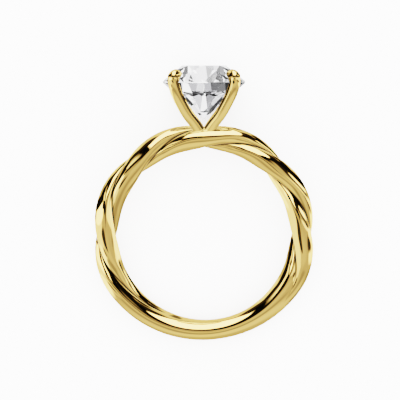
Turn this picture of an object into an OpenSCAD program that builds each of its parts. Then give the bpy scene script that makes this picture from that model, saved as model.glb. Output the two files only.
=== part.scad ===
// Solitaire ring: a round brilliant in four prongs on a shank of two twisted strands, which run
// together into one plain band at the back. The ring lies on its side: the finger hole opens
// upwards, the head points along +Y, and the girdle of the stone and the back of the shank
// touch z = 0. Angles round the shank are counted from the head, clockwise seen from above.

/* [Finger hole] */
// Narrowest diameter of the finger hole
bore_d = 17.1; // [15:0.1:20]

/* [Shank] */
// Width of the shank across both strands
pair_w = 2.7; // [2.3:0.05:3.2]
// Width of one strand, which is the thickness of the shank where the strands cross
strand_w = 1.95; // [1.6:0.05:2.2]
// Distance between the crests of the two strands
crest_gap = 1.1; // [0.8:0.05:1.3]
// Depth of the groove between the crests
groove_depth = 0.22; // [0.1:0.01:0.35]
// Thickness of the plain band at the back
plain_t = 2.04; // [1.6:0.02:2.4]
// How far the shank dips towards the finger where the strands cross
dip = 0.12; // [0:0.01:0.2]

/* [Twist] */
// Half turns of the twist from the head round to the back
half_turns = 3; // [2:1:4]
// Angle from the head at which the twist starts to slow down
slow_from = 112; // [90:1:130]
// Share of the twist that is left at the back
back_share = 0.2; // [0:0.05:0.5]
// Angle at which the groove on the outside starts to fade
outer_fade = 100; // [90:1:120]
// Angle over which the groove on the outside fades
outer_fade_span = 24; // [15:1:50]
// Angle at which the groove in the finger hole starts to fade
inner_fade = 112; // [90:1:130]
// Angle over which the groove in the finger hole fades
inner_fade_span = 56; // [30:1:68]

/* [Stone] */
// Diameter of the girdle
stone_d = 8.2; // [6.5:0.1:9]
// Diameter of the table over its corners
table_d = 4.35; // [3.6:0.05:5]
// Height of the crown, from the girdle to the table
crown_h = 1.55; // [1:0.05:1.8]
// Thickness of the girdle
girdle_h = 0.2; // [0.1:0.02:0.3]
// Depth of the pavilion, from the girdle to its point
pavilion_h = 3.6; // [3:0.05:3.8]

/* [Head] */
// Height of the girdle's middle over the shank's centreline
head_h = 5.38; // [5:0.05:6]
// Diameter of a prong
prong_d = 1.15; // [0.9:0.05:1.3]
// How far the girdle is let into each prong
bite = 0.43; // [0.3:0.01:0.5]
// Clearance between the stone and its seats
seat_gap = 0.04; // [0.02:0.01:0.06]

/* [Hidden] */

bore_r = bore_d / 2;
half_w = pair_w / 2;
strand_r = strand_w / 2;
crest_u = crest_gap / 2;
groove_v = strand_r - groove_depth;
plain_r = plain_t / 2;
front_r = bore_r + half_w;
back_r = bore_r + plain_r;
stone_r = stone_d / 2;
table_r = table_d / 2;
prong_r = prong_d / 2;

// How full the strands are beside the groove, and the plain band all round
crest_power = 4.5;
plain_power = 2.2;
crest_w = crest_u / pow(1 - pow(groove_v / strand_r, crest_power), 1 / crest_power);

// Slowing of the twist: a higher power brings it in sooner
slow_power = 6;
slow_span = 180 - slow_from;
slow_mean = back_share + (1 - back_share) / slow_power;
twist_rate = 180 * half_turns / (slow_from + slow_span * slow_mean);

shank_rings = 112;
// Points of a half section, as shares of the way from the groove to the crest, then in degrees
// of the strand's outer half
crest_shares = [0.12, 0.3, 0.6, 1];
edge_angles = [22.5, 45, 67.5];

function mix(a, b, s) = a + (b - a) * s;
function ease(x) = let (s = max(0, min(1, x))) s * s * (3 - 2 * s);
function super(x, power) = pow(max(0, 1 - pow(x, power)), 1 / power);

// Turn of the pair of strands about the shank's centreline
function twist(t) =
    let (past = max(0, abs(t) - slow_from),
         slowed = slow_span * (1 - pow(1 - past / slow_span, slow_power)) / slow_power)
    sign(t) * twist_rate * (min(abs(t), slow_from) + mix(slowed, past, back_share));

// Half thickness of the section at a distance u from its middle: two strands, and one band
function two_strands(u) =
    u < crest_u ? strand_r * super((crest_u - u) / crest_w, crest_power)
                : strand_r * super((u - crest_u) / (half_w - crest_u), 2);
function plain_band(u) = plain_r * super(u / half_w, plain_power);

function half_section(fade) =
    let (us = concat([for (s = crest_shares) s * crest_u],
                     [for (a = edge_angles) mix(crest_u, half_w, sin(a))]))
    [for (u = us) [u, mix(two_strands(u), plain_band(u), fade)]];
function backwards(list) = [for (i = [len(list) - 1:-1:0]) list[i]];

// One turn round the section: the inner groove, a strand, the outer groove and the other strand
function section(t) =
    let (inner = ease((abs(t) - inner_fade) / inner_fade_span),
         outer = ease((abs(t) - outer_fade) / outer_fade_span),
         up = half_section(inner),
         down = half_section(outer))
    concat([[0, mix(groove_v, plain_r, inner)]], up,
           [[half_w, 0]], [for (p = backwards(down)) [p[0], -p[1]]],
           [[0, -mix(groove_v, plain_r, outer)]], [for (p = down) [-p[0], -p[1]]],
           [[-half_w, 0]], [for (p = backwards(up)) [-p[0], p[1]]]);

function shank_ring(t) =
    let (turn = twist(t),
         dipped_r = front_r - dip * pow(cos(turn), 2),
         centre_r = mix(dipped_r, back_r, ease((abs(t) - slow_from) / slow_span)))
    [for (p = section(t))
        let (r = centre_r + p[0] * sin(turn) + p[1] * cos(turn),
             z = p[0] * cos(turn) - p[1] * sin(turn))
        [r * sin(t), r * cos(t), z]];

module shank() {
    rings = [for (i = [0:shank_rings - 1]) shank_ring(360 * i / shank_rings - 180)];
    n = len(rings[0]);
    polyhedron(
        points = [for (ring = rings) each ring],
        faces = [for (i = [0:shank_rings - 1], j = [0:n - 1])
            let (a = i * n, b = (i + 1) % shank_rings * n, k = (j + 1) % n)
            each [[a + j, b + j, b + k], [a + j, b + k, a + k]]],
        convexity = 12);
}

// Route of a prong, as shares: how far out to the seat, and how far up to the girdle
prong_out = 0;
prong_up = 1;
prong_route = [[0.03, 0], [0.21, 0.16], [0.34, 0.265], [0.5, 0.38], [0.62, 0.485], [0.73, 0.6],
               [0.83, 0.71], [0.915, 0.82], [0.975, 0.93], [1, 1.03], [0.995, 1.11]];
prong_sides = 12;
seat_r = stone_r - bite + prong_r;
prong_azimuths = [45:90:315];

// A point of the upright plane through the head's axis and a prong
function head_point(route) = [route[prong_out] * seat_r, route[prong_up] * head_h];

function wire_ring(centre, angle, r, sides) =
    [for (i = [0:sides - 1])
        let (a = 360 * i / sides)
        [centre[0] + r * cos(a) * sin(angle), r * sin(a), centre[1] - r * cos(a) * cos(angle)]];

// A round wire along the route, standing on the head's axis
module prong() {
    path = [for (row = prong_route) head_point(row)];
    last = len(path) - 1;
    rings = [for (i = [0:last])
        let (d = path[min(i + 1, last)] - path[max(i - 1, 0)])
        wire_ring(path[i], atan2(d[1], d[0]), prong_r, prong_sides)];
    n = prong_sides;
    polyhedron(
        points = [for (ring = rings) each ring],
        faces = concat(
            [[for (j = [0:n - 1]) j], [for (j = [n - 1:-1:0]) last * n + j]],
            [for (i = [0:last - 1], j = [0:n - 1])
                let (a = i * n, b = a + n, k = (j + 1) % n)
                each [[a + j, b + k, a + k], [a + j, b + j, b + k]]]),
        convexity = 4);
}

// Rounded end of a prong, pushed inwards over the crown: route points, then shares of the radius
claw_route = [[0.995, 1.11], [0.94, 1.155], [0.82, 1.15]];
claw_size = [1, 0.82, 0.56];
module claw_bead(i) {
    p = head_point(claw_route[i]);
    translate([p[0], 0, p[1]]) sphere(r = prong_r * claw_size[i], $fn = 18);
}
module claw() {
    for (i = [0:len(claw_route) - 2]) hull() {
        claw_bead(i);
        claw_bead(i + 1);
    }
}

// Round brilliant, its girdle's middle at the origin and its table upwards
mains = 8;
star_share = 0.5;
lower_share = 0.77;
module brilliant() {
    main_step = 360 / mains;
    half_step = main_step / 2;
    crown_slope = crown_h / (stone_r - table_r);
    pavilion_slope = pavilion_h / stone_r;
    star_r = mix(table_r * cos(half_step), stone_r, star_share);
    lower_r = stone_r * (1 - lower_share);
    table_z = girdle_h / 2 + crown_h;
    star_z = table_z - (star_r * cos(half_step) - table_r) * crown_slope;
    culet_z = -girdle_h / 2 - pavilion_h;
    lower_z = culet_z + lower_r * cos(half_step) * pavilion_slope;
    g = 2 * mains;
    table_at = 0;
    star_at = mains;
    top_at = 2 * mains;
    base_at = top_at + g;
    lower_at = base_at + g;
    culet_at = lower_at + mains;
    polyhedron(
        points = concat(
            [for (i = [0:mains - 1]) let (a = i * main_step)
                [table_r * cos(a), table_r * sin(a), table_z]],
            [for (i = [0:mains - 1]) let (a = (i + 0.5) * main_step)
                [star_r * cos(a), star_r * sin(a), star_z]],
            [for (z = [girdle_h / 2, -girdle_h / 2], i = [0:g - 1]) let (a = i * half_step)
                [stone_r * cos(a), stone_r * sin(a), z]],
            [for (i = [0:mains - 1]) let (a = (i + 0.5) * main_step)
                [lower_r * cos(a), lower_r * sin(a), lower_z]],
            [[0, 0, culet_z]]),
        faces = concat(
            [[for (i = [mains - 1:-1:0]) table_at + i]],
            [for (i = [0:mains - 1])
                let (next = (i + 1) % mains, before = (i + mains - 1) % mains,
                     main = 2 * i, half = 2 * i + 1, main_next = 2 * next)
                each [
                    [table_at + i, table_at + next, star_at + i],
                    [table_at + i, star_at + i, top_at + main, star_at + before],
                    [star_at + i, top_at + half, top_at + main],
                    [star_at + i, top_at + main_next, top_at + half],
                    [top_at + main, top_at + half, base_at + half, base_at + main],
                    [top_at + half, top_at + main_next, base_at + main_next, base_at + half],
                    [lower_at + i, base_at + main, base_at + half],
                    [lower_at + i, base_at + half, base_at + main_next],
                    [culet_at, lower_at + before, base_at + main, lower_at + i]]]));
}

// The head's axis points along +Y, away from the finger hole
module on_head() {
    translate([0, front_r, 0]) rotate([-90, 0, 0]) children();
}
module on_girdle() {
    on_head() translate([0, 0, head_h]) children();
}

// The ring leans on the girdle's lower edge and on the back of the shank
girdle_y = front_r + head_h;
edge_y = girdle_y - girdle_h / 2;
table_y = girdle_y + girdle_h / 2 + crown_h;
function rest_tilt(steps, t) =
    steps == 0 ? t
    : rest_tilt(steps - 1, atan((stone_r - norm([half_w, plain_r * tan(t)])) / (edge_y + back_r)));
tilt = rest_tilt(4, 0);
lift = stone_r * cos(tilt) - edge_y * sin(tilt);
far_y = table_y * cos(tilt) + table_r * sin(tilt);
near_y = -back_r * cos(tilt) - norm([plain_r * cos(tilt), half_w * sin(tilt)]);
middle_y = (far_y + near_y) / 2;
module lying() {
    translate([0, -middle_y, lift]) rotate([tilt, 0, 0]) children();
}

module shank_with_head() {
    seat_scale = 1 + seat_gap / stone_r;
    color("gold") lying() difference() {
        union() {
            shank();
            for (a = prong_azimuths) on_head() rotate([0, 0, a]) {
                prong();
                claw();
            }
        }
        on_girdle() scale(seat_scale) brilliant();
    }
}

module round_stone() {
    color("whitesmoke") lying() on_girdle() brilliant();
}

shank_with_head();
round_stone();
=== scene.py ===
import math

import bmesh
import bpy
from mathutils import Matrix, Vector


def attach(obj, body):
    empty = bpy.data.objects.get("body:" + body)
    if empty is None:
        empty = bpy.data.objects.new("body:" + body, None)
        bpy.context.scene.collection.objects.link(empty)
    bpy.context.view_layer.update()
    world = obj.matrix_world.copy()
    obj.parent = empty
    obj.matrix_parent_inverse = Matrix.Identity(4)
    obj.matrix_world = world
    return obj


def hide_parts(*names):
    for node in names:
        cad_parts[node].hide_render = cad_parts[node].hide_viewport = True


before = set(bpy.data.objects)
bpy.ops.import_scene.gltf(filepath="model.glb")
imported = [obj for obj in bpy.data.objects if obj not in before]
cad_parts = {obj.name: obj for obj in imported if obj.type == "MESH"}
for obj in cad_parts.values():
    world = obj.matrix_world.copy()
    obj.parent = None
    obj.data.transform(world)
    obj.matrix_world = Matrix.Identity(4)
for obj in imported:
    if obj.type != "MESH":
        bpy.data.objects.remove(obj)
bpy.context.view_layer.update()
scene = bpy.context.scene
mm = 0.001
weldGap = 1e-5              # in mm: points nearer than this become one
planeGap = 1e-6             # in mm: points nearer than this lie on a facet's plane

# sizes in millimetres and degrees, measured on the ring standing up with its head at the top
shank = {
    "boreD": 17.1,
    "pairW": 2.64,          # a hair under the solid's, so the round surface stays inside its box
    "strandW": 1.944,
    "crestGap": 1.1,        # between the crests of the two strands
    "grooveDepth": 0.27,
    "plainT": 2.02,         # how thick the plain band is
    "dip": 0.12,            # how far in the pair sits where its strands lie side by side
    "halfTurns": 3,         # on each side of the head
    "slowFrom": 112,        # where the twist starts to slow down, from the head
    "backShare": 0.2,       # how much of its pace is left at the very back
    "slowPower": 6,
    "outerFade": (108, 24),     # where the twist starts to run into the plain band, and how long
    "innerFade": (118, 50),
    "crestPower": 2.6,      # section from crest to groove: 2 is round, more is squarer
    "plainPower": 2.2,
    "rings": 560,
    "around": 88,
    "grooveShare": 0.42,    # share of the section's points from groove to crest
    "grooveCrowd": 1.25,    # how much they crowd towards the groove
    "paintedShadeFade": 1.6,      # how much sooner than the groove its painted shade runs out
}

stone = {
    "girdleD": 8.2,
    "tableD": 4.35,
    "crownH": 1.55,
    "girdleH": 0.2,
    "pavilionH": 3.6,
    "mains": 8,
    "starShare": 0.5,
    "lowerShare": 0.77,
    "girdleSides": 128,
}

head = {
    "girdleUp": 5.38,       # middle of the girdle over the shank's centreline
    "wireD": 1.13,
    "bite": 0.43,           # how far a prong's wire reaches in past the girdle's rim
    "seatGap": 0.04,        # clearance round the stone in its seats
    "azimuths": (45, 135, 225, 315),
    # how far out to the seat and how far up to the girdle, as shares
    "route": ((0.03, 0), (0.21, 0.16), (0.34, 0.265), (0.5, 0.38), (0.62, 0.485), (0.73, 0.6),
              (0.83, 0.71), (0.915, 0.82), (0.975, 0.93), (1, 1.03), (0.995, 1.11)),
    "rings": 110,
    "around": 48,
    "lookAhead": 0.01,      # share of the route, either way, that gives the wire's direction
    "line": (82, 18),       # painted dark reflection, a fine line down a prong's flanks: degrees from its inside, reach
    "ring": (1.115, 0.11),  # and painted shade round it under the bead: share of the height, reach in mm
    # claw: out, up and radius of the balls that it is drawn over
    "balls": ((0.992, 1.105, 0.6), (0.94, 1.15, 0.5), (0.82, 1.15, 0.32)),
    "ballSides": (64, 40),  # round it and from pole to pole
    "melt": 14,             # less blends the balls more
    "shadeH": 0.45,         # how far up a claw the stone's painted shade reaches
    "shadeRim": 0.2,        # how far inside the girdle's rim it is at its full
}

# the solids' own sizes place the lying ring and its seats
solidPairW = 2.7
solidPlainT = 2.04
solidWireD = 1.15
boreR = shank["boreD"] / 2
frontR = boreR + solidPairW / 2
backR = boreR + solidPlainT / 2
stoneR = stone["girdleD"] / 2
tableR = stone["tableD"] / 2
seatR = stoneR - head["bite"] + solidWireD / 2


def mix(a, b, share):
    return a + (b - a) * share


def ease(x):
    x = min(max(x, 0), 1)
    return x * x * (3 - 2 * x)


def arch(x, power):
    return max(0, 1 - abs(x) ** power) ** (1 / power)


# the pose: the girdle's lower edge and the back of the shank touch the floor
girdleY = frontR + head["girdleUp"]
edgeY = girdleY - stone["girdleH"] / 2
tableY = girdleY + stone["girdleH"] / 2 + stone["crownH"]
tilt = 0
for _ in range(4):          # each round comes closer, and four are enough
    reach = math.hypot(solidPairW / 2, solidPlainT / 2 * math.tan(tilt))
    tilt = math.atan((stoneR - reach) / (edgeY + backR))
lift = stoneR * math.cos(tilt) - edgeY * math.sin(tilt)
farY = tableY * math.cos(tilt) + tableR * math.sin(tilt)
nearY = -backR * math.cos(tilt) - math.hypot(solidPlainT / 2 * math.cos(tilt),
                                             solidPairW / 2 * math.sin(tilt))
standing = (Matrix.Scale(mm, 4) @ Matrix.Translation((0, -(farY + nearY) / 2, lift))
            @ Matrix.Rotation(tilt, 4, "X"))
onGirdle = Matrix.Translation((0, girdleY, 0)) @ Matrix.Rotation(-math.pi / 2, 4, "X")
onHead = Matrix.Translation((0, frontR, 0)) @ Matrix.Rotation(-math.pi / 2, 4, "X")


def finishPiece(name, bm, nodeName, material):
    bmesh.ops.transform(bm, matrix=standing, verts=bm.verts)
    mesh = bpy.data.meshes.new(name)
    bm.to_mesh(mesh)
    bm.free()
    piece = bpy.data.objects.new(name, mesh)
    scene.collection.objects.link(piece)
    mesh.materials.append(material)
    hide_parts(nodeName)
    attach(piece, "root")
    return piece


# sums written with shader signals become maths nodes
class Signal:
    def __init__(self, work, socket):
        self.work = work
        self.socket = socket

    def maths(self, operation, a, b=0.0, c=0.0):
        return self.work.add("ShaderNodeMath", {"operation": operation}, {0: a, 1: b, 2: c})

    def __add__(self, other):
        return self.maths("ADD", self, other)

    __radd__ = __add__

    def __mul__(self, other):
        return self.maths("MULTIPLY", self, other)

    __rmul__ = __mul__

    def __sub__(self, other):
        return self.maths("SUBTRACT", self, other)

    def __rsub__(self, other):
        return self.maths("SUBTRACT", other, self)

    def size(self):
        return self.maths("ABSOLUTE", self)

    def power(self, exponent):
        return self.maths("POWER", self, exponent)

    def rise(self, low, high):
        # 0 below low, 1 above high, and a soft edge between
        return self.work.add("ShaderNodeMapRange", {"interpolation_type": "SMOOTHSTEP"},
                             {"Value": self, "From Min": low, "From Max": high})


class NodeWork:
    def __init__(self, tree):
        self.tree = tree
        tree.nodes.clear()

    def add(self, kind, settings=None, values=None, output=0):
        node = self.tree.nodes.new(kind)
        for name, value in (settings or {}).items():
            setattr(node, name, value)
        for name, value in (values or {}).items():
            if isinstance(value, Signal):
                self.tree.links.new(value.socket, node.inputs[name])
            else:
                node.inputs[name].default_value = value
        return Signal(self, node.outputs[output]) if node.outputs else None

    def vectors(self, operation, a, b=(0, 0, 0), output="Vector"):
        return self.add("ShaderNodeVectorMath", {"operation": operation}, {0: a, 1: b}, output)


def colour(red, green, blue):
    return (red, green, blue, 1)


def newMaterial(name):
    material = bpy.data.materials.new(name)
    material.use_nodes = True
    return material, NodeWork(material.node_tree)


gold = {
    "light": (0.97, 0.61, 0.205),
    "deep": (0.95, 0.585, 0.185),
    "edge": (1.0, 0.88, 0.6),   # where the light grazes it
    "roughness": (0.01, 0.02),
    "cloudScale": 260,      # per metre: soft clouds some 4 mm across
    "cloudDetail": 3.0,
    "polishScale": 5200,    # polishing marks about 0.2 mm long
    "polishDetail": 2.0,
    "polishBump": 0.006,
    "polishDepth": 0.0001,  # in metres
    # painted shade: the near black painted into the grooves, under the beads, down the prongs' flanks
    # and where the claws meet the stone
    "paintedShade": (0.02, 0.012, 0.007),
    "paintedShadeW": (0.03, 0.17),    # painted shade fully dark and clear again, mm from the groove's middle
    "sharpFrom": 38,        # degrees: a bend sharper than this shows as an edge
}


def polishedGold():
    material, work = newMaterial("polished gold")
    place = work.add("ShaderNodeTexCoord", output="Object")
    clouds = work.add("ShaderNodeTexNoise", None,
                      {"Vector": place, "Scale": gold["cloudScale"],
                       "Detail": gold["cloudDetail"]})
    marks = work.add("ShaderNodeTexNoise", None,
                     {"Vector": place, "Scale": gold["polishScale"],
                      "Detail": gold["polishDetail"]})
    tint = work.add("ShaderNodeMix", {"data_type": "RGBA"},
                    {"Factor": clouds, 6: colour(*gold["light"]), 7: colour(*gold["deep"])}, 2)
    # painted shade and painted dark reflections darken the gold's colour
    paintedShade = work.add("ShaderNodeAttribute", {"attribute_name": "paintedShade"}, None, "Fac")
    tint = work.add("ShaderNodeMix", {"data_type": "RGBA"},
                    {"Factor": paintedShade, 6: tint, 7: colour(*gold["paintedShade"])}, 2)
    low, high = gold["roughness"]
    rough = clouds * (high - low) + low
    bump = work.add("ShaderNodeBump", None,
                    {"Height": marks, "Strength": gold["polishBump"],
                     "Distance": gold["polishDepth"]})
    metal = work.add("ShaderNodeBsdfPrincipled", None,
                     {"Base Color": tint, "Metallic": 1.0, "Roughness": rough, "Normal": bump,
                      "Specular Tint": colour(*gold["edge"])})
    work.add("ShaderNodeOutputMaterial", None, {"Surface": metal})
    return material


diamond = {
    # painted reflections: each facet's colour lies between deep and clear
    "clear": (0.99, 0.99, 1.0),
    "deep": (0.0, 0.0, 0.015),
    "ior": 2.42,
    "glare": (0.25, 0.25, 0.25),    # share of the light that its surface mirrors face on
}


def cutDiamond():
    material, work = newMaterial("cut diamond")
    # each facet's painted light and dark picks its colour
    paintedFacetLight = work.add("ShaderNodeAttribute", {"attribute_name": "paintedFacetLight"}, None, "Fac")
    tint = work.add("ShaderNodeMix", {"data_type": "RGBA"},
                    {"Factor": paintedFacetLight, 6: colour(*diamond["deep"]), 7: colour(*diamond["clear"])}, 2)
    glass = work.add("ShaderNodeBsdfPrincipled", None,
                     {"Base Color": tint, "Roughness": 0.0, "IOR": diamond["ior"],
                      "Transmission Weight": 1.0, "Specular Tint": colour(*diamond["glare"])})
    work.add("ShaderNodeOutputMaterial", None, {"Surface": glass})
    return material


goldMaterial = polishedGold()
diamondMaterial = cutDiamond()
print("finishes ready")


# the shank: two strands side by side that twist as they go round
def twistAt(turn):
    past = max(0, abs(turn) - shank["slowFrom"])
    span = 180 - shank["slowFrom"]
    power = shank["slowPower"]
    share = shank["backShare"]
    rate = 180 * shank["halfTurns"] / (shank["slowFrom"] + span * (share + (1 - share) / power))
    slowed = span * (1 - (1 - past / span) ** power) / power
    whole = rate * (min(abs(turn), shank["slowFrom"]) + mix(slowed, past, share))
    return math.copysign(math.radians(whole), turn)


def thicknessAt(u, fade):
    halfW = shank["pairW"] / 2
    strandR = shank["strandW"] / 2
    crestU = shank["crestGap"] / 2
    power = shank["crestPower"]
    dipShare = (strandR - shank["grooveDepth"]) / strandR
    crestW = crestU / (1 - dipShare ** power) ** (1 / power)
    if u < crestU:
        twin = strandR * arch((crestU - u) / crestW, power)
    else:
        twin = strandR * arch((u - crestU) / (halfW - crestU), 2)   # round
    return mix(twin, shank["plainT"] / 2 * arch(u / halfW, shank["plainPower"]), fade)


def shankPoint(turn, around):
    # around runs 0..1: inner groove, first strand, outer groove, second strand
    # it gives the point and how much painted shade it takes near the groove
    quarter, share = divmod(around * 4, 1)
    quarter = int(quarter) % 4
    if quarter in (1, 3):
        share = 1 - share
    crestU = shank["crestGap"] / 2
    crest = shank["grooveShare"]
    if share < crest:
        u = crestU * (share / crest) ** shank["grooveCrowd"]
    else:
        u = mix(crestU, shank["pairW"] / 2,
                math.sin(math.pi / 2 * (share - crest) / (1 - crest)))
    start, span = shank["innerFade"] if quarter in (0, 3) else shank["outerFade"]
    fade = ease((abs(turn) - start) / span)
    v = thicknessAt(u, fade)
    # painted shade along the groove, which runs out as the twist runs into the plain band
    dark, clear = gold["paintedShadeW"]
    paintedShade = ease((clear - u) / (clear - dark)) * (1 - ease(fade * shank["paintedShadeFade"]))
    u = u if quarter in (0, 1) else -u
    v = v if quarter in (0, 3) else -v
    twist = twistAt(turn)
    dipped = frontR - shank["dip"] * math.cos(twist) ** 2
    centre = mix(dipped, backR, ease((abs(turn) - shank["slowFrom"]) / (180 - shank["slowFrom"])))
    radius = centre + u * math.sin(twist) + v * math.cos(twist)
    angle = math.radians(turn)
    return Vector((radius * math.sin(angle), radius * math.cos(angle),
                   u * math.cos(twist) - v * math.sin(twist))), paintedShade


def bendShank(bm):
    paintedShades = bm.verts.layers.float.new("paintedShade")
    sheet = bmesh.ops.create_grid(bm, x_segments=shank["rings"], y_segments=shank["around"], size=1)
    for vert in sheet["verts"]:
        vert.co, vert[paintedShades] = shankPoint(vert.co.x * 180, ((vert.co.y + 1) / 2) % 1)
    bmesh.ops.remove_doubles(bm, verts=bm.verts, dist=weldGap)
    bmesh.ops.recalc_face_normals(bm, faces=bm.faces)


# painted light: how bright each facet is painted, standing in for the light and dark that the cut
# mirrors; from the one on the ring's right round by the far side
paintedFacetTones = {
    "mains": (0.5, 0.8, 0.35, 1, 0.3, 0.5, 1, 0.45),
    "lowerHalves": (0.3, 0.8, 0.2, 1, 0.35, 0.9, 0.25, 0.7, 0.15, 0.7, 0.9, 0.2, 0.16, 0.5, 0.2, 0.8),
    "bezels": (0.7, 1, 0.6, 1, 0.9, 1, 1, 0.55),
    "stars": (0.9, 0.3, 1, 0.4, 1, 0.95, 0.3, 0.9),
    "upperHalves": (0.9, 0.5, 1, 0.6, 0.9, 1, 0.4, 0.95, 0.8, 1, 1, 0.95, 0.6, 0.35, 0.5, 0.3),
}


# the stone: a drum with its facets cut off by planes
def cutFacet(bm, points, paintedFacetLight):
    paintedFacetLights = bm.faces.layers.float["paintedFacetLight"]
    a, b, c = points
    normal = (b - a).cross(c - a).normalized()
    if normal.dot(a) < 0:
        normal.negate()
    cut = bmesh.ops.bisect_plane(bm, geom=bm.verts[:] + bm.edges[:] + bm.faces[:], dist=planeGap,
                                 plane_co=a, plane_no=normal, clear_outer=True)
    rim = [part for part in cut["geom_cut"] if isinstance(part, bmesh.types.BMEdge)]
    for face in bmesh.ops.contextual_create(bm, geom=rim)["faces"]:
        face[paintedFacetLights] = paintedFacetLight


def cutBrilliant():
    bm = bmesh.new()
    paintedFacetLights = bm.faces.layers.float.new("paintedFacetLight")
    mains = stone["mains"]
    step = math.tau / mains
    half = step / 2
    top = stone["girdleH"] / 2
    tableZ = top + stone["crownH"]
    culetZ = -top - stone["pavilionH"]
    crownSlope = stone["crownH"] / (stoneR - tableR)
    pavilionSlope = stone["pavilionH"] / stoneR
    starR = mix(tableR * math.cos(half), stoneR, stone["starShare"])
    starZ = tableZ - (starR * math.cos(half) - tableR) * crownSlope
    lowerR = stoneR * (1 - stone["lowerShare"])
    lowerZ = culetZ + lowerR * math.cos(half) * pavilionSlope

    def at(radius, angle, z):
        return Vector((radius * math.cos(angle), radius * math.sin(angle), z))

    bmesh.ops.create_cone(bm, cap_ends=True, segments=stone["girdleSides"], radius1=stoneR,
                          radius2=stoneR, depth=tableZ - culetZ,
                          matrix=Matrix.Translation((0, 0, (tableZ + culetZ) / 2)))
    for face in bm.faces:
        face[paintedFacetLights] = 1
    for i in range(mains):
        a = i * step
        side = at(1, a + math.pi / 2, 0)
        cutFacet(bm, (at(stoneR, a, top), at(stoneR, a, top) + side, at(tableR, a, tableZ)),
                 paintedFacetTones["bezels"][i])
        cutFacet(bm, (at(stoneR, a, -top), at(stoneR, a, -top) + side, at(0, a, culetZ)),
                 paintedFacetTones["mains"][i])
    for i in range(mains):
        a = i * step
        star = at(starR, a + half, starZ)
        low = at(lowerR, a + half, lowerZ)
        cutFacet(bm, (at(tableR, a, tableZ), at(tableR, a + step, tableZ), star),
                 paintedFacetTones["stars"][i])
        for side in (0, 1):
            main = a + side * step
            cutFacet(bm, (star, at(stoneR, main, top), at(stoneR, a + half, top)),
                     paintedFacetTones["upperHalves"][2 * i + side])
            cutFacet(bm, (low, at(stoneR, main, -top), at(stoneR, a + half, -top)),
                     paintedFacetTones["lowerHalves"][2 * i + side])
    bmesh.ops.recalc_face_normals(bm, faces=bm.faces)
    return bm


stoneShape = cutBrilliant()
cutter = bpy.data.meshes.new("seat cutter")
stoneShape.to_mesh(cutter)
cutter.transform(onGirdle @ Matrix.Scale(1 + head["seatGap"] / stoneR, 4))
bmesh.ops.transform(stoneShape, matrix=onGirdle, verts=stoneShape.verts)
brilliant = finishPiece("brilliant", stoneShape, "round_stone", diamondMaterial)
print("stone cut:", len(brilliant.data.polygons), "faces")


# the head: four bent wires, each ending in a claw over the girdle
def routeAt(share):
    # a smooth curve through the route's points
    points = [Vector((out * seatR, up * head["girdleUp"])) for out, up in head["route"]]
    place = share * (len(points) - 1)
    i = min(int(place), len(points) - 2)
    t = place - i
    before = points[i - 1] if i else 2 * points[0] - points[1]
    after = points[i + 2] if i + 2 < len(points) else 2 * points[-1] - points[-2]
    a, b = points[i], points[i + 1]
    return 0.5 * (2 * a + (b - before) * t + (2 * before - 5 * a + 4 * b - after) * t * t
                  + (3 * a - before - 3 * b + after) * t ** 3)


def lineShade(distance, reach):
    # painted shade: 1 up to half the reach from the line's middle, and 0 from the reach on
    return ease(2 - 2 * distance / reach)


def ringShade(up):
    place, reach = head["ring"]
    return lineShade(abs(up - place * head["girdleUp"]), reach)


def drawWire(bm):
    paintedShades = bm.verts.layers.float.new("paintedShade")
    sheet = bmesh.ops.create_grid(bm, x_segments=head["rings"], y_segments=head["around"], size=1)
    radius = head["wireD"] / 2
    step = head["lookAhead"]
    place, reach = head["line"]
    for vert in sheet["verts"]:
        share = (vert.co.x + 1) / 2
        angle = (vert.co.y + 1) * math.pi
        centre = routeAt(share)
        ahead = (routeAt(min(share + step, 1)) - routeAt(max(share - step, 0))).normalized()
        vert.co = Vector((centre.x + radius * math.cos(angle) * ahead.y,
                          radius * math.sin(angle),
                          centre.y - radius * math.cos(angle) * ahead.x))
        # a painted dark reflection down both flanks, and painted shade round the wire under the bead
        line = lineShade(abs(abs(math.degrees(angle) - 180) - place), reach)
        vert[paintedShades] = max(line, ringShade(vert.co.z))
    bmesh.ops.remove_doubles(bm, verts=bm.verts, dist=weldGap)
    ends = [edge for edge in bm.edges if edge.is_boundary]
    bmesh.ops.holes_fill(bm, edges=ends)
    bmesh.ops.recalc_face_normals(bm, faces=bm.faces)


def pushClaw(bm):
    # a ball drawn smoothly over three balls: the end of the wire, pushed over the crown
    paintedShades = bm.verts.layers.float.new("paintedShade")
    crownSlope = stone["crownH"] / (stoneR - tableR)
    sides, rows = head["ballSides"]
    ball = bmesh.ops.create_uvsphere(bm, u_segments=sides, v_segments=rows, radius=1)
    cores = [(Vector((out * seatR, 0, up * head["girdleUp"])), r) for out, up, r in head["balls"]]
    middle = cores[0][0]
    for vert in ball["verts"]:
        way = vert.co.normalized()
        pulls = [math.exp(head["melt"] * ((core - middle).dot(way) + r)) for core, r in cores]
        place = Vector()
        for (core, r), pull in zip(cores, pulls):
            place += (core + way * r) * pull / sum(pulls)
        vert.co = place
        # painted shade where the claw comes down onto the crown, and round it under the bead
        above = place.z - head["girdleUp"] - stone["girdleH"] / 2 - (stoneR - place.x) * crownSlope
        shade = ease(1 - above / head["shadeH"]) * ease((stoneR - place.x) / head["shadeRim"])
        vert[paintedShades] = max(shade, ringShade(place.z))


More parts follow.
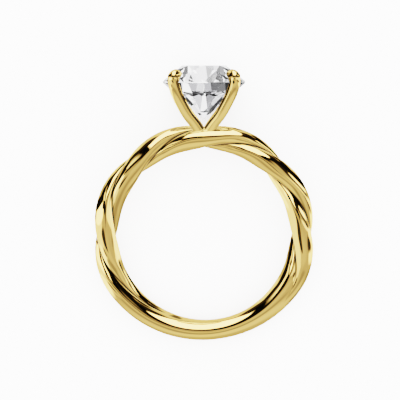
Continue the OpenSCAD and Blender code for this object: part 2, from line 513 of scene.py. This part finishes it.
def seatCut(build, azimuth):
    # one prong or claw, turned to its place and notched for the stone
    bm = bmesh.new()
    build(bm)
    bmesh.ops.transform(bm, matrix=onHead @ Matrix.Rotation(math.radians(azimuth), 4, "Z"),
                        verts=bm.verts)
    rough = bpy.data.meshes.new("rough")
    bm.to_mesh(rough)
    bm.free()
    blank = bpy.data.objects.new("blank", rough)
    tool = bpy.data.objects.new("tool", cutter)
    for item in (blank, tool):
        scene.collection.objects.link(item)
    notch = blank.modifiers.new("seat", "BOOLEAN")
    notch.operation = "DIFFERENCE"
    notch.solver = "EXACT"
    notch.object = tool
    cut = bpy.data.meshes.new_from_object(blank.evaluated_get(bpy.context.evaluated_depsgraph_get()))
    for item in (blank, tool):
        bpy.data.objects.remove(item)
    return cut


goldShape = bmesh.new()
bendShank(goldShape)
print("shank bent:", len(goldShape.faces), "faces")
for azimuth in head["azimuths"]:
    for build in (drawWire, pushClaw):
        goldShape.from_mesh(seatCut(build, azimuth))
for face in goldShape.faces:
    face.smooth = True
twistedShank = finishPiece("twisted_shank", goldShape, "shank_with_head", goldMaterial)
twistedShank.data.set_sharp_from_angle(angle=math.radians(gold["sharpFrom"]))
twistedShank.visible_transmission = False   # no gold shows through the stone
twistedShank.visible_glossy = False         # and the gold mirrors the tent, never itself
bpy.data.meshes.remove(cutter)
print("head set:", len(twistedShank.data.polygons), "faces")


# the studio: a pale floor, and a light tent with cards in it
studio = {
    "floorReach": 1.5,
    "floor": (0.9, 0.9, 0.9),
    "tentLight": 7.0,       # what the floor and the camera see
    "wall": 0.66,           # what the ring mirrors where no card hangs
    "lean": 2.3,            # degrees that the cards' middle leans from upright towards the band
}

# each card: middle right and up, half sizes, turn, edge power, softness, light
# places are on a mirror ball seen from the camera's side, its rim at 1
cards = (
    (0.1, -0.57, 0.6, 0.16, 0, 2, 0.9, 1.1),        # soft glow and shades on the near wall
    (0.05, -0.16, 0.35, 0.08, 0, 2, 0.8, 0.85),
    (0, -0.34, 0.45, 0.055, 0, 2, 0.8, 0.42),
    (0.84, -0.4, 0.17, 0.09, 12, 2, 0.7, 0.42),
    (0.655, -0.58, 0.065, 0.14, 20, 2, 0.7, 0.36),
    (0, 0.91, 1.1, 0.5, 0, 4, 0.34, 1.15),          # far wall, beyond the tall panel
    (-0.74, 0.66, 0.17, 0.34, 42, 2, 0.5, 1.7),
    (-0.9, 0.36, 0.13, 0.12, 60, 2, 0.5, 0.75),
    (0.75, 0.65, 0.2, 0.32, -42, 2, 0.5, 1.7),
    (0.26, 0.87, 0.06, 0.05, 0, 2, 0.6, 0.15),
    (-0.74, -0.18, 0.45, 0.2, 0, 3, 0.3, 1.7),      # left panels
    (-0.72, -0.4, 0.22, 0.15, 32, 2, 0.5, 2.6),
    (-0.55, 0.05, 0.3, 0.085, 0, 3, 0.35, 3.0),
    (-0.39, -0.255, 0.09, 0.06, 0, 2, 0.6, 0.09),   # dark spots right of them
    (-0.17, -0.105, 0.19, 0.038, -8, 2, 0.4, 0.05),
    (0.86, -0.04, 0.28, 0.2, 2, 3, 0.45, 2.4),      # right panel, with strips and shades beside it
    (0.34, 0.22, 0.16, 0.1, 0, 2, 0.5, 0.03),
    (0.3, 0.06, 0.2, 0.06, 0, 2, 0.6, 0.6),
    (0.42, 0.03, 0.25, 0.035, 4, 2, 0.5, 2.0),
    (0.6, -0.085, 0.17, 0.05, -4, 2, 0.7, 0.05),
    (0.66, 0.12, 0.15, 0.04, 12, 2, 0.7, 0.06),
    (-0.66, 0.2, 0.29, 0.085, 6, 3, 0.3, 0.006),    # dark gaps left of the tall panel
    (-0.6, 0.3, 0.19, 0.12, 23, 2, 0.45, 0.01),
    (-0.43, 0.42, 0.21, 0.095, -6, 2, 0.5, 0.02),
    (-0.37, 0.53, 0.11, 0.15, 5, 2, 0.6, 0.04),
    (-0.27, 0.185, 0.14, 0.05, -18, 2, 0.4, 1.9),   # a glint, with a dark line below it
    (-0.16, 0.085, 0.22, 0.04, -4, 3, 0.3, 0.01),
    (0.6, 0.245, 0.2, 0.05, 3, 3, 0.2, 3.0),        # bright strip, then dark gaps right of the panel
    (0.5, 0.14, 0.24, 0.04, 6, 2, 0.5, 0.12),
    (0.4, 0.365, 0.13, 0.095, 8, 2, 0.4, 0.006),
    (0.64, 0.41, 0.24, 0.1, 2, 3, 0.3, 0.006),
    (0.54, 0.57, 0.09, 0.2, 18, 2, 0.5, 0.015),
    (0.34, 0.54, 0.11, 0.15, 10, 2, 0.6, 0.03),
    (-0.24, 0.33, 0.16, 0.07, -46, 3, 0.4, 0.008),  # and one more left of it
    (0.01, 0.48, 0.3, 0.35, 4, 2.3, 0.12, 0.1),     # the tall panel beyond the head, dark rimmed
    (0.0, 0.84, 0.16, 0.05, 0, 2, 0.4, 0.9),
    (-0.03, 0.05, 0.15, 0.045, 0, 2, 0.5, 0.015),
    (-0.005, 0.34, 0.36, 0.4, 0, 1, 0.1, 0.004),
    (0.01, 0.485, 0.26, 0.3, 4, 2.3, 0.1, 3.8),
    (-0.005, 0.35, 0.245, 0.27, 0, 1, 0.1, 3.8),
)

# patches of light and shade behind and beside the stone: direction, reach, softness, light
stoneLight = 2.8
stonePatches = (
    ((-0.5, 0.15, -0.85), 24, 2, 0.45),
    ((-0.66, 0.22, -0.72), 7, 1, 0.01),
    ((0.3, -0.75, -0.5), 26, 2, 0.3),
    ((0, -0.5, 0.8), 30, 3, 0.01),
    ((-0.6, 0.5, -0.6), 14, 1, 0.02),
    ((0.6, 0.75, -0.3), 15, 1, 0.02),
    ((0.85, -0.1, -0.5), 14, 1, 0.2),
    ((-0.95, 0, 0.1), 20, 2, 0.1),
    ((0.9, 0.4, 0.1), 15, 1, 0.01),
    ((0, 0.9, 0.3), 16, 2, 0.1),
)


def layFloor():
    bm = bmesh.new()
    bmesh.ops.create_grid(bm, x_segments=1, y_segments=1, size=studio["floorReach"])
    mesh = bpy.data.meshes.new("floor")
    bm.to_mesh(mesh)
    bm.free()
    floor = bpy.data.objects.new("floor", mesh)
    scene.collection.objects.link(floor)
    material, work = newMaterial("pale floor")
    paint = work.add("ShaderNodeBsdfDiffuse", None, {"Color": colour(*studio["floor"])})
    work.add("ShaderNodeOutputMaterial", None, {"Surface": paint})
    mesh.materials.append(material)
    # the gold and the stone see the tent below them too
    floor.visible_glossy = False
    floor.visible_transmission = False


def hangTent():
    world = bpy.data.worlds.new("tent")
    world.use_nodes = True
    scene.world = world
    work = NodeWork(world.node_tree)
    lean = math.radians(studio["lean"])
    above = (0, -math.sin(lean), math.cos(lean))
    ahead = (0, math.cos(lean), math.sin(lean))
    # where a mirror ball shows this direction
    way = work.add("ShaderNodeTexCoord", output="Generated")
    halfway = work.vectors("NORMALIZE", work.vectors("ADD", way, above))
    right = work.vectors("DOT_PRODUCT", halfway, (1, 0, 0), "Value")
    up = work.vectors("DOT_PRODUCT", halfway, ahead, "Value")
    spot = work.add("ShaderNodeCombineXYZ", None, {"X": right, "Y": up, "Z": 1.0})
    light = studio["wall"]
    for x, y, halfW, halfH, turn, power, soft, glow in cards:
        c, s = math.cos(math.radians(turn)), math.sin(math.radians(turn))
        along = (c / halfW, s / halfW, -(x * c + y * s) / halfW)
        across = (-s / halfH, c / halfH, (x * s - y * c) / halfH)
        u = work.vectors("DOT_PRODUCT", spot, along, "Value").size().power(power)
        v = work.vectors("DOT_PRODUCT", spot, across, "Value").size().power(power)
        card = 1 - (u + v).rise(1 - soft, 1 + soft)
        light = light * (1 - card) + glow * card
    inStone = stoneLight
    for aim, reach, soft, glow in stonePatches:
        near = work.vectors("DOT_PRODUCT", way, Vector(aim).normalized(), "Value")
        patch = near.rise(math.cos(math.radians(reach + soft)), math.cos(math.radians(reach - soft)))
        inStone = inStone * (1 - patch) + glow * patch
    shiny = work.add("ShaderNodeLightPath", output="Is Glossy Ray")
    through = work.add("ShaderNodeLightPath", output="Is Transmission Ray")
    sides = []
    for strength in (studio["tentLight"], light, inStone):
        sides.append(work.add("ShaderNodeBackground", None,
                              {"Color": colour(1, 1, 1), "Strength": strength}))
    outside = work.add("ShaderNodeMixShader", None, {0: shiny, 1: sides[0], 2: sides[1]})
    tent = work.add("ShaderNodeMixShader", None, {0: through, 1: outside, 2: sides[2]})
    work.add("ShaderNodeOutputWorld", None, {"Surface": tent})


layFloor()
hangTent()
scene.view_settings.view_transform = "Filmic"
scene.view_settings.look = "High Contrast"

# the camera, given on the standing ring: nearly along the finger hole
camera = {
    "aim": (-0.4, 3.5, 0),
    "distance": 199.5,
    "down": 4,              # degrees off the hole's axis, towards the head
    "lens": 179.5,
    "clip": (0.01, 10),     # in metres
}


def placeCamera():
    down = math.radians(camera["down"])
    aim = Vector(camera["aim"])
    eye = aim + camera["distance"] * Vector((0, math.sin(down), math.cos(down)))
    back = (eye - aim).normalized()
    side = Vector((1, 0, 0))
    turn = Matrix((side, back.cross(side), back)).transposed().to_4x4()
    data = bpy.data.cameras.new("camera")
    data.lens = camera["lens"]
    data.clip_start, data.clip_end = camera["clip"]
    item = bpy.data.objects.new("camera", data)
    scene.collection.objects.link(item)
    lying = Matrix.Rotation(tilt, 4, "X")
    item.matrix_world = Matrix.Translation(standing @ eye) @ lying @ turn
    scene.camera = item


placeCamera()
print("studio and camera ready")
